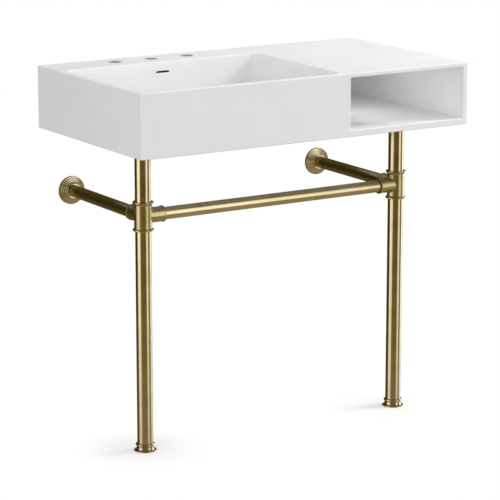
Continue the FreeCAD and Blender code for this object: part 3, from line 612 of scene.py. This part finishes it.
BRASS_PLAIN = turned_metal("brass_turned", (0.66, 0.53, 0.28, 1), (0.5, 0.38, 0.17, 1), 0.2, 0.34)
STEEL = turned_metal("steel_zinc", (0.6, 0.6, 0.6, 1), (0.45, 0.45, 0.46, 1), 0.25, 0.4)
print("metals:", BRASS_PLAIN.name, STEEL.name)

# %% Rubber
RUBBER_SHADES = ((0.012, 0.012, 0.012, 1), (0.03, 0.03, 0.029, 1))
RUBBER_GLOSS = (0.6, 0.8)


def soft_rubber():
    """Black rubber with a dusty bloom."""
    material, tree, place = new_material("rubber_black")
    clouds = group_node(tree, CLOUDS, place, Scale=90.0)
    colour = blend_colours(tree, clouds, *RUBBER_SHADES)
    gloss = blend_floats(tree, clouds, *RUBBER_GLOSS)
    grain = add(tree, "ShaderNodeTexNoise", {"Vector": place, "Scale": 1500.0}).outputs[0]
    normal = bump(tree, grain, strength=0.3, distance=0.00005)
    finish_material(tree, {"Base Color": colour, "Roughness": gloss, "Normal": normal})
    return material


RUBBER = soft_rubber()
print("materials:", [material.name for material in bpy.data.materials])

# %% [markdown]
# ## Finishes on the CAD pieces
#
# The top, the cross fittings and many small pieces already have the right shape in the CAD model. They
# could be copied and dressed as new pieces, but a copy adds nothing. So these solids stay as they are,
# and each gets its finish through the slot that the record names for it.

# %% Give each CAD piece its finish
SLOT_FINISH = {"cast_resin": RESIN, "brushed_brass": BRASS_UPRIGHT, "plain_brass": BRASS_PLAIN,
               "steel": STEEL, "rubber": RUBBER}
node_slots = {part["node"]: part["material_slot"] for part in frame["record"]["subparts"]}


def dress(node, material):
    """Put one material on a CAD piece."""
    slots = bpy.data.objects[node].data.materials
    slots.clear()
    slots.append(material)


for node, slot in node_slots.items():
    dress(node, SLOT_FINISH[slot])
for side in ("left", "right"):
    dress(f"side_strut_{side}", BRASS_STRUT)
    dress(f"cross_fitting_{side}", BRASS_CAST)
print("dressed:", len(node_slots), "CAD pieces")

# %% [markdown]
# ## The lathe
#
# Tubes, rings, feet and flanges are all round, and the real ones are turned on a lathe or drawn as tube.
# The Spin and Screw tools could turn a section too, one piece at a time. One Geometry Nodes tree does it
# for all of them: it takes half of the section as a closed line and sweeps it round the upright axis. It
# also stores the radius and the height of each point, so that the brushing can run round the piece.

# %% The lathe tree
LATHE_ARM = 0.1
SEAM_GAP = 1e-6


def finish_tree(tree, last, given):
    """End a Geometry Nodes tree: plain geometry with its finish on it."""
    real = add(tree, "GeometryNodeRealizeInstances", {0: last.outputs[0]})
    dressed = add(tree, "GeometryNodeSetMaterial", {0: real.outputs[0],
                                                    "Material": given.outputs["Finish"]})
    add(tree, "NodeGroupOutput", {0: dressed.outputs[0]})


def round_attribute(tree, geometry):
    """Store (radius, height, X) of every point, for hairlines that run round the axis."""
    place = add(tree, "GeometryNodeInputPosition").outputs[0]
    across, inward, up = add(tree, "ShaderNodeSeparateXYZ", {0: place}).outputs
    squares = [math_node(tree, "MULTIPLY", value, value) for value in (across, inward)]
    radius = math_node(tree, "SQRT", math_node(tree, "ADD", *squares))
    turned = add(tree, "ShaderNodeCombineXYZ", {0: radius, 1: up, 2: across})
    return add(tree, "GeometryNodeStoreNamedAttribute", {
        0: geometry, "Name": "turned", "Value": turned.outputs[0]},
        data_type="FLOAT_VECTOR", domain="POINT")


def lathe_tree():
    """Sweep a closed section, drawn in X and Y, round the Z axis."""
    tree = bpy.data.node_groups.new("lathe", "GeometryNodeTree")
    sockets = tree.interface
    sockets.new_socket("Section", in_out="INPUT", socket_type="NodeSocketGeometry")
    sockets.new_socket("Segments", in_out="INPUT", socket_type="NodeSocketInt")
    sockets.new_socket("Finish", in_out="INPUT", socket_type="NodeSocketMaterial")
    sockets.new_socket("Piece", in_out="OUTPUT", socket_type="NodeSocketGeometry")
    given = add(tree, "NodeGroupInput")
    section = add(tree, "GeometryNodeMeshToCurve", {0: given.outputs["Section"]})
    moved = add(tree, "GeometryNodeTransform", {
        0: section.outputs[0], "Translation": (-LATHE_ARM, 0, 0), "Rotation": (math.pi, 0, 0)})
    path = add(tree, "GeometryNodeCurvePrimitiveCircle", {
        "Resolution": given.outputs["Segments"], "Radius": LATHE_ARM}, mode="RADIUS")
    level = add(tree, "GeometryNodeSetCurveNormal", {0: path.outputs[0]}, mode="Z_UP")
    swept = add(tree, "GeometryNodeCurveToMesh", {0: level.outputs[0], 1: moved.outputs[0]})
    closed = add(tree, "GeometryNodeMergeByDistance", {0: swept.outputs[0], "Distance": SEAM_GAP})
    finish_tree(tree, round_attribute(tree, closed.outputs[0]), given)
    return tree


LATHE = lathe_tree()
print("lathe tree:", len(LATHE.nodes), "nodes")


# %% Grow a mesh from a tree
def set_input(modifier, label, value):
    """Set a Geometry Nodes input by the identifier of the socket with this name."""
    for item in modifier.node_group.interface.items_tree:
        if item.name == label and item.in_out == "INPUT":
            modifier[item.identifier] = value


def bake(holder):
    """Turn an object with live modifiers into a plain mesh and drop the object."""
    seen = bpy.context.evaluated_depsgraph_get()
    mesh = bpy.data.meshes.new_from_object(holder.evaluated_get(seen))
    source = holder.data
    holder.modifiers.clear()
    bpy.data.objects.remove(holder)
    bpy.data.meshes.remove(source)
    return mesh


def grow(name, tree, inputs, start=None):
    """Mesh that a Geometry Nodes tree makes from its inputs, and from a first mesh if it takes one."""
    holder = bpy.data.objects.new(name + "_source", start or bpy.data.meshes.new(name + "_source"))
    scene.collection.objects.link(holder)
    modifier = holder.modifiers.new("grow", "NODES")
    modifier.node_group = tree
    for label, value in inputs.items():
        set_input(modifier, label, value)
    mesh = bake(holder)
    mesh.name = name
    return mesh


print("lathe inputs:", [item.name for item in LATHE.interface.items_tree if item.in_out == "INPUT"])

# %% [markdown]
# ## Rounded sections
#
# Every real edge is a little round and catches a thin line of light. A Bevel modifier can round edges
# afterwards. Here the rounding is drawn into the section before it is turned, so each edge can have its
# own radius, and the half-round rings come from the same function.


# %% Round the corners of a section
def rounded(corners, steps=4):
    """Closed section in mm with its corners rounded: each corner is (radius, height, rounding)."""
    points = []
    for index, (x, y, radius) in enumerate(corners):
        here = Vector((x, y))
        before = Vector(corners[index - 1][:2]) - here
        after = Vector(corners[(index + 1) % len(corners)][:2]) - here
        if radius <= 0:
            points.append(here)
            continue
        half = before.angle(after) / 2
        cut = radius / math.tan(half)
        start = here + before.normalized() * cut
        end = here + after.normalized() * cut
        centre = here + (before.normalized() + after.normalized()).normalized() * (cut / math.cos(half))
        first, last = start - centre, end - centre
        for step in range(steps + 1):
            share = step / steps
            points.append(centre + first.slerp(last, share) * first.length)
    return points


print("points on a rounded square:", len(rounded([(0, 0, 1), (9, 0, 1), (9, 9, 1), (0, 9, 1)])))

# %% Turn a section into a finished mesh
# sides of a turned piece: hidden ones, tubes and feet, and the wide flanges
COARSE, FINE, FINEST = 96, 128, 160
SHARP_DEGREES = 40


def weigh_normals(mesh):
    """Smooth shading in which large faces win over the narrow faces of an edge rounding."""
    mesh.shade_smooth()
    mesh.set_sharp_from_angle(angle=math.radians(SHARP_DEGREES))
    holder = bpy.data.objects.new("weighing", mesh)
    scene.collection.objects.link(holder)
    weighing = holder.modifiers.new("weigh", "WEIGHTED_NORMAL")
    weighing.keep_sharp = True
    return bake(holder)


def turn_on_lathe(name, section, material, segments):
    """Mesh of one turned piece from its section in mm, standing on its own Z axis, in metres."""
    points = [(x / 1000, y / 1000, 0) for x, y in section]
    mesh = bpy.data.meshes.new(name + "_section")
    count = len(points)
    mesh.from_pydata(points, [(index, (index + 1) % count) for index in range(count)], [])
    turned = grow(name + "_turned", LATHE, {"Segments": segments, "Finish": material}, mesh)
    shell = bmesh.new()
    shell.from_mesh(turned)
    loose = [edge for edge in shell.edges if not edge.link_faces]
    bmesh.ops.delete(shell, geom=loose, context="EDGES")
    bmesh.ops.recalc_face_normals(shell, faces=shell.faces)
    shell.to_mesh(turned)
    shell.free()
    turned = weigh_normals(turned)
    turned.name = name
    return turned


print("sides:", COARSE, FINE, FINEST)


# %% Add a piece to the part
def add_piece(name, mesh, body, node):
    """Object for a finished mesh: it rides on a body and stands for a CAD node."""
    piece = bpy.data.objects.new(name, mesh)
    scene.collection.objects.link(piece)
    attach(piece, body)
    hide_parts(node)
    print(f"{name}: {len(mesh.polygons)} faces")
    return piece


def stand_on_axis(mesh, node):
    """Move a turned mesh onto the upright axis and the lowest level of a CAD node."""
    foot = middle_of(node)
    foot.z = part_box(node)[0][2]
    mesh.transform(Matrix.Translation(foot))
    return mesh


print("the left leg's axis is at:", middle_of("foot_base_left").xy)

# %% [markdown]
# ## Tubes
#
# The legs are 38 mm tube, the rail and the struts 30 mm. A cylinder would do from afar, but a real tube
# has a wall and a softened edge at its end. So the legs and the rail are turned from a thin section. Each
# takes its place and length from the CAD piece that it stands for, so that it always meets its fittings.
# A strut has a screw hole near the wall, which a lathe can't make, so the struts stay as CAD pieces.

# %% A tube in the box of a CAD tube
TUBE_WALL = 1.5
EDGE_ROUNDING = 0.35
QUARTER = math.pi / 2
ALONG = {"x": Matrix.Rotation(QUARTER, 4, "Y"), "-y": Matrix.Rotation(QUARTER, 4, "X"),
         "z": Matrix.Identity(4)}


def tube_mesh(name, node, axis, material):
    """Fine tube in the box of a CAD tube."""
    low, high = (corner * 1000 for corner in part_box(node))
    sizes = dict(zip("xyz", high - low))
    length = sizes.pop(axis)
    outer = min(sizes.values()) / 2
    inner = outer - TUBE_WALL
    section = rounded([(inner, 0, EDGE_ROUNDING), (outer, 0, EDGE_ROUNDING),
                       (outer, length, EDGE_ROUNDING), (inner, length, EDGE_ROUNDING)])
    mesh = turn_on_lathe(name, section, material, FINE)
    start = (low + high) / 2
    start["xyz".index(axis)] = low["xyz".index(axis)]
    mesh.transform(Matrix.Translation(start / 1000) @ ALONG[axis])
    return mesh


print("tube wall:", TUBE_WALL, "mm")

# %% Legs and rail
for side in ("left", "right"):
    for part in ("upper", "lower"):
        node = f"leg_{side}_{part}_tube"
        mesh = tube_mesh(f"leg_tube_{side}_{part}", node, "z", BRASS_UPRIGHT)
        add_piece(f"leg_tube_{side}_{part}", mesh, "root", node)
mesh = tube_mesh("rail_tube", "front_rail", "x", BRASS_RAIL)
add_piece("rail_tube", mesh, "root", "front_rail")

# %% [markdown]
# ## Feet
#
# Each leg ends in a ferrule: a half-round ring that the tube stands on, with a plug that goes up into
# it. Under it is the levelling foot, which flares out in a hollow curve to a rounded edge. Stacked
# cylinders could suggest them, but both are turned from bar, so the lathe tree makes them from their
# true sections. A section holds the inside as well: the bore for the stud, and the recess for the pad.

# %% Sections of ferrule and foot
# in mm, and each pair is a radius and a height
STUD_BORE = 5.1
FERRULE_RING = (22.9, 7.0)
FERRULE_PLUG = (17.45, 27.0)
HALF_ROUND = 3.45
FOOT_EDGE = (27.0, 2.3)
FOOT_EDGE_ROUNDING = 1.1
FOOT_NECK = (20.5, 11.5)
FOOT_FLARE = 5.4
PAD_RECESS = (24.1, 1.5)
STUD_FLOOR = 3.5


def ferrule_section():
    """Ring with its plug, from the lower face up."""
    ring, ring_top = FERRULE_RING
    plug, plug_top = FERRULE_PLUG
    return rounded([(STUD_BORE, 0, 0.3), (ring, 0, HALF_ROUND), (ring, ring_top, HALF_ROUND),
                    (plug, ring_top, 0), (plug, plug_top, 0.8), (STUD_BORE, plug_top, 0.4)], steps=8)


def foot_section():
    """Flared foot with its stud hole above and its pad recess below."""
    edge, edge_top = FOOT_EDGE
    neck, neck_top = FOOT_NECK
    recess, recess_depth = PAD_RECESS
    return rounded([(0, recess_depth, 0), (recess, recess_depth, 0), (recess, 0, 0.3),
                    (edge, 0, FOOT_EDGE_ROUNDING), (edge, edge_top, FOOT_EDGE_ROUNDING),
                    (neck, edge_top, FOOT_FLARE), (neck, neck_top, 0.5), (STUD_BORE, neck_top, 0.3),
                    (STUD_BORE, STUD_FLOOR, 0), (0, STUD_FLOOR, 0)], steps=8)


print("points:", len(ferrule_section()), "on the ferrule,", len(foot_section()), "on the foot")

# %% Ferrules and feet
for side in ("left", "right"):
    ring = turn_on_lathe(f"ferrule_{side}", ferrule_section(), BRASS_TURNED, FINE)
    node = f"foot_ferrule_{side}"
    add_piece(f"ferrule_{side}", stand_on_axis(ring, node), "root", node)
    foot = turn_on_lathe(f"foot_{side}_flare", foot_section(), BRASS_TURNED, FINE)
    node = f"foot_base_{side}"
    add_piece(f"foot_flare_{side}", stand_on_axis(foot, node), f"foot_{side}", node)

# %% [markdown]
# ## Rubber pads
#
# The pad under each foot grips the floor with a few moulded ridges. They show only from below, but a
# flat disc would look wrong there, and the lathe makes ridges as easily as a plain edge.

# %% Ridged pads
PAD_RIDGES = 4
RIDGE_STEP = 5.2
RIDGE_WIDTH = 2.6
RIDGE_HEIGHT = 0.4
RIDGE_SLOPE = 0.4


def pad_section(outer, height):
    """Disc with ridges on its lower face."""
    corners = [(0, RIDGE_HEIGHT, 0)]
    for ridge in range(PAD_RIDGES):
        start = RIDGE_STEP * (ridge + 0.5)
        end = start + RIDGE_WIDTH
        corners += [(start, RIDGE_HEIGHT, 0), (start + RIDGE_SLOPE, 0, 0.1),
                    (end - RIDGE_SLOPE, 0, 0.1), (end, RIDGE_HEIGHT, 0)]
    corners += [(outer, RIDGE_HEIGHT, 0.2), (outer, height, 0.2), (0, height, 0)]
    return rounded(corners, steps=2)


for side in ("left", "right"):
    node = f"foot_pad_{side}"
    low, high = (corner * 1000 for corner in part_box(node))
    section = pad_section((high[0] - low[0]) / 2, high[2] - low[2])
    pad = turn_on_lathe(f"pad_{side}", section, RUBBER, COARSE)
    add_piece(f"pad_ridged_{side}", stand_on_axis(pad, node), f"foot_{side}", node)

# %% [markdown]
# ## Levelling studs
#
# The foot hangs on a threaded stud, which shows when the foot is screwed out. A thread could be a bump in
# the material, but its outline would stay straight. It is a rule: the radius goes in and out with the
# height, and the pattern climbs by one pitch per turn. A Geometry Nodes tree applies that rule to the
# points of a plain cylinder, so one number changes the pitch.

# %% The thread tree
STUD_PITCH = 1.5
STUD_THREAD_DEPTH = 0.65
STUD_SIDES = 40
STUD_RINGS_PER_PITCH = 6


def thread_tree():
    """Cylinder whose radius follows a screw thread."""
    tree = bpy.data.node_groups.new("thread", "GeometryNodeTree")
    sockets = tree.interface
    for label in ("Radius", "Length", "Pitch", "Depth"):
        sockets.new_socket(label, in_out="INPUT", socket_type="NodeSocketFloat")
    sockets.new_socket("Rings", in_out="INPUT", socket_type="NodeSocketInt")
    sockets.new_socket("Finish", in_out="INPUT", socket_type="NodeSocketMaterial")
    sockets.new_socket("Piece", in_out="OUTPUT", socket_type="NodeSocketGeometry")
    given = add(tree, "NodeGroupInput")
    rod = add(tree, "GeometryNodeMeshCylinder", {
        "Vertices": STUD_SIDES, "Side Segments": given.outputs["Rings"],
        "Radius": given.outputs["Radius"], "Depth": given.outputs["Length"]})
    place = add(tree, "GeometryNodeInputPosition").outputs[0]
    across, inward, up = add(tree, "ShaderNodeSeparateXYZ", {0: place}).outputs
    turn = math_node(tree, "DIVIDE", math_node(tree, "ARCTAN2", inward, across), 2 * math.pi)
    climb = math_node(tree, "SUBTRACT", math_node(tree, "DIVIDE", up, given.outputs["Pitch"]), turn)
    groove = math_node(tree, "PINGPONG", climb, 0.5)
    share = math_node(tree, "DIVIDE", math_node(tree, "MULTIPLY", groove, given.outputs["Depth"]),
                      math_node(tree, "MULTIPLY", given.outputs["Radius"], 0.5))
    shrink = math_node(tree, "SUBTRACT", 1.0, share)
    scale = add(tree, "ShaderNodeCombineXYZ", {0: shrink, 1: shrink, 2: 1.0})
    moved = add(tree, "ShaderNodeVectorMath", {0: place, 1: scale.outputs[0]}, operation="MULTIPLY")
    cut = add(tree, "GeometryNodeSetPosition", {0: rod.outputs["Mesh"], "Position": moved.outputs[0]})
    finish_tree(tree, cut, given)
    return tree


THREAD = thread_tree()
print("thread tree:", len(THREAD.nodes), "nodes")

# %% Threaded studs
THREAD_SHARP_DEGREES = 70

for side in ("left", "right"):
    node = f"foot_stud_{side}"
    low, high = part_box(node)
    length = high[2] - low[2]
    rings = round(length * 1000 / STUD_PITCH * STUD_RINGS_PER_PITCH)
    stud = grow(f"stud_{side}", THREAD, {
        "Radius": (high[0] - low[0]) / 2, "Length": length, "Pitch": STUD_PITCH / 1000,
        "Depth": STUD_THREAD_DEPTH / 1000, "Rings": rings, "Finish": STEEL})
    stud.transform(Matrix.Translation((0, 0, length / 2)))
    stud.shade_smooth()
    stud.set_sharp_from_angle(angle=math.radians(THREAD_SHARP_DEGREES))
    add_piece(f"stud_threaded_{side}", stand_on_axis(stud, node), f"foot_{side}", node)

# %% [markdown]
# ## Wall flanges
#
# A flange slides along the strut and hides the screws in the wall. It is a turned ring of four steps.
# Plain steps would mirror one flat patch of the room each and look like paper. On the real one each step
# falls away a little towards its edge, and the edges are soft, so every step shows a thin bright line.
# That slope is drawn in the section.

# %% Section of the flange
# in mm, the steps' and the hub's distance in from the edge, and their height over the wall
FLANGE_STEPS = [(0.0, 6.5), (4.5, 9.3), (9.0, 12.1), (13.2, 14.9)]
FLANGE_HUB = (16.4, 18.0)
STEP_FALL = 1.0
STEP_EDGE = 1.1
STEP_HOLLOW = 0.7
WALL_EDGE = 0.3
FLANGE_BORE = 15.3
# radius and depth of the cavity, and radius, from and to of the groove for the rubber ring
FLANGE_CAVITY = (27.0, 6.5)
RING_GROOVE = (17.6, 10.7, 13.3)


def flange_section(outer):
    """Stepped ring from its hub to its edge, with the groove for the rubber ring and the cavity."""
    groove, groove_low, groove_high = RING_GROOVE
    cavity, cavity_depth = FLANGE_CAVITY
    hub, hub_top = outer - FLANGE_HUB[0], FLANGE_HUB[1]
    corners = [(hub, hub_top, 0.9), (FLANGE_BORE, hub_top, 0.4), (FLANGE_BORE, groove_high, 0),
               (groove, groove_high, 0), (groove, groove_low, 0), (FLANGE_BORE, groove_low, 0),
               (FLANGE_BORE, cavity_depth, 0.3), (cavity, cavity_depth, 0), (cavity, 0, 0.3)]
    level = 0
    for inset, height in FLANGE_STEPS:
        radius = outer - inset
        hollow = STEP_HOLLOW if level else WALL_EDGE
        corners += [(radius, level, hollow), (radius, height - STEP_FALL, STEP_EDGE)]
        level = height
    corners.append((hub, level, STEP_HOLLOW))
    return rounded(corners, steps=6)


print("steps:", len(FLANGE_STEPS), "the highest at", FLANGE_STEPS[-1][1], "mm, the hub at", FLANGE_HUB[1])

# %% Stepped flanges
for side in ("left", "right"):
    node = f"wall_flange_{side}"
    low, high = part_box(node)
    outer = (high[0] - low[0]) / 2
    mesh = turn_on_lathe(f"flange_{side}", flange_section(outer * 1000), BRASS_TURNED, FINEST)
    wall_side = middle_of(node)
    wall_side.y = high[1]
    mesh.transform(Matrix.Translation(wall_side) @ ALONG["-y"])
    add_piece(f"flange_stepped_{side}", mesh, f"flange_{side}", node)

# %% [markdown]
# ## Grub screws
#
# Small screws with a hexagon socket hold each cross fitting on its tubes: two at the back, in the beads,
# and one under each socket. They could be modelled once and copied by hand. One tree makes a screw and
# sets a copy on every point that it is given, turned to the direction stored there, so a screw that
# moves is one number.

# %% The grub screw tree
SCREW_RADIUS = 1.5
KEY_RADIUS = 0.8
KEY_DEPTH = 1.4
SCREW_SIDES = 32
KEY_SIDES = 6


def grub_screw_tree():
    """Screw with a hexagon socket on every point, turned outwards."""
    tree = bpy.data.node_groups.new("grub_screws", "GeometryNodeTree")
    sockets = tree.interface
    sockets.new_socket("Places", in_out="INPUT", socket_type="NodeSocketGeometry")
    for label in ("Radius", "Length", "Key radius", "Key depth"):
        sockets.new_socket(label, in_out="INPUT", socket_type="NodeSocketFloat")
    sockets.new_socket("Finish", in_out="INPUT", socket_type="NodeSocketMaterial")
    sockets.new_socket("Piece", in_out="OUTPUT", socket_type="NodeSocketGeometry")
    given = add(tree, "NodeGroupInput")
    body = add(tree, "GeometryNodeMeshCylinder", {
        "Vertices": SCREW_SIDES, "Radius": given.outputs["Radius"], "Depth": given.outputs["Length"]})
    down = add(tree, "ShaderNodeCombineXYZ", {
        2: math_node(tree, "MULTIPLY", given.outputs["Length"], -0.5)})
    sunk = add(tree, "GeometryNodeTransform", {0: body.outputs["Mesh"], "Translation": down.outputs[0]})
    key = add(tree, "GeometryNodeMeshCylinder", {
        "Vertices": KEY_SIDES, "Radius": given.outputs["Key radius"],
        "Depth": math_node(tree, "MULTIPLY", given.outputs["Key depth"], 2.0)})
    screw = add(tree, "GeometryNodeMeshBoolean", {
        "Mesh 1": sunk.outputs[0], "Mesh 2": key.outputs["Mesh"]}, operation="DIFFERENCE")
    outward = add(tree, "GeometryNodeInputNamedAttribute", {"Name": "outward"}, data_type="FLOAT_VECTOR")
    turned = add(tree, "FunctionNodeAlignRotationToVector", {"Vector": outward.outputs[0]}, axis="Z")
    copies = add(tree, "GeometryNodeInstanceOnPoints", {
        "Points": given.outputs["Places"], "Instance": screw.outputs["Mesh"],
        "Rotation": turned.outputs[0]})
    finish_tree(tree, copies, given)
    return tree


GRUB_SCREWS = grub_screw_tree()
print("grub screw tree:", len(GRUB_SCREWS.nodes), "nodes")

# %% Screws in the cross fittings
# distances from the crossing of the axes in mm
BEAD_SCREW = {"up": 32.8, "out": 24.6, "length": 5.45}
SOCKET_SCREW = {"along": 44.5, "out": 17.9, "length": 2.8}
BACK, DOWN = Vector((0, 1, 0)), Vector((0, 0, -1))


def screw_places(name, spots):
    """Points in metres from (place in mm, direction) pairs, with the direction stored on each."""
    mesh = bpy.data.meshes.new(name)
    mesh.from_pydata([place / 1000 for place, direction in spots], [], [])
    stored = mesh.attributes.new("outward", "FLOAT_VECTOR", "POINT")
    for item, (place, direction) in zip(stored.data, spots):
        item.vector = direction
    return mesh


def fitting_screws(side, rail_sense):
    """Mesh of all four screws of one fitting."""
    crossing = middle_of(f"leg_{side}_lower_tube")
    crossing.z = middle_of(f"cross_fitting_{side}").z
    crossing = crossing * 1000
    beads = [(crossing + BACK * BEAD_SCREW["out"] + DOWN * sense * BEAD_SCREW["up"], BACK)
             for sense in (1, -1)]
    sockets = [(crossing + arm * SOCKET_SCREW["along"] + DOWN * SOCKET_SCREW["out"], DOWN)
               for arm in (Vector((rail_sense, 0, 0)), BACK)]
    all_four = bmesh.new()
    for label, spots, sizes in (("bead", beads, BEAD_SCREW), ("socket", sockets, SOCKET_SCREW)):
        all_four.from_mesh(grow(f"{label}_screws_{side}", GRUB_SCREWS, {
            "Radius": SCREW_RADIUS / 1000, "Length": sizes["length"] / 1000,
            "Key radius": KEY_RADIUS / 1000, "Key depth": KEY_DEPTH / 1000, "Finish": STEEL},
            screw_places(f"{label}_places_{side}", spots)))
    mesh = bpy.data.meshes.new(f"grub_screws_{side}")
    all_four.to_mesh(mesh)
    all_four.free()
    mesh.materials.append(STEEL)
    return mesh


for side, rail_sense in (("left", 1), ("right", -1)):
    node = f"cross_screws_{side}"
    add_piece(f"grub_screws_{side}", fitting_screws(side, rail_sense), "root", node)
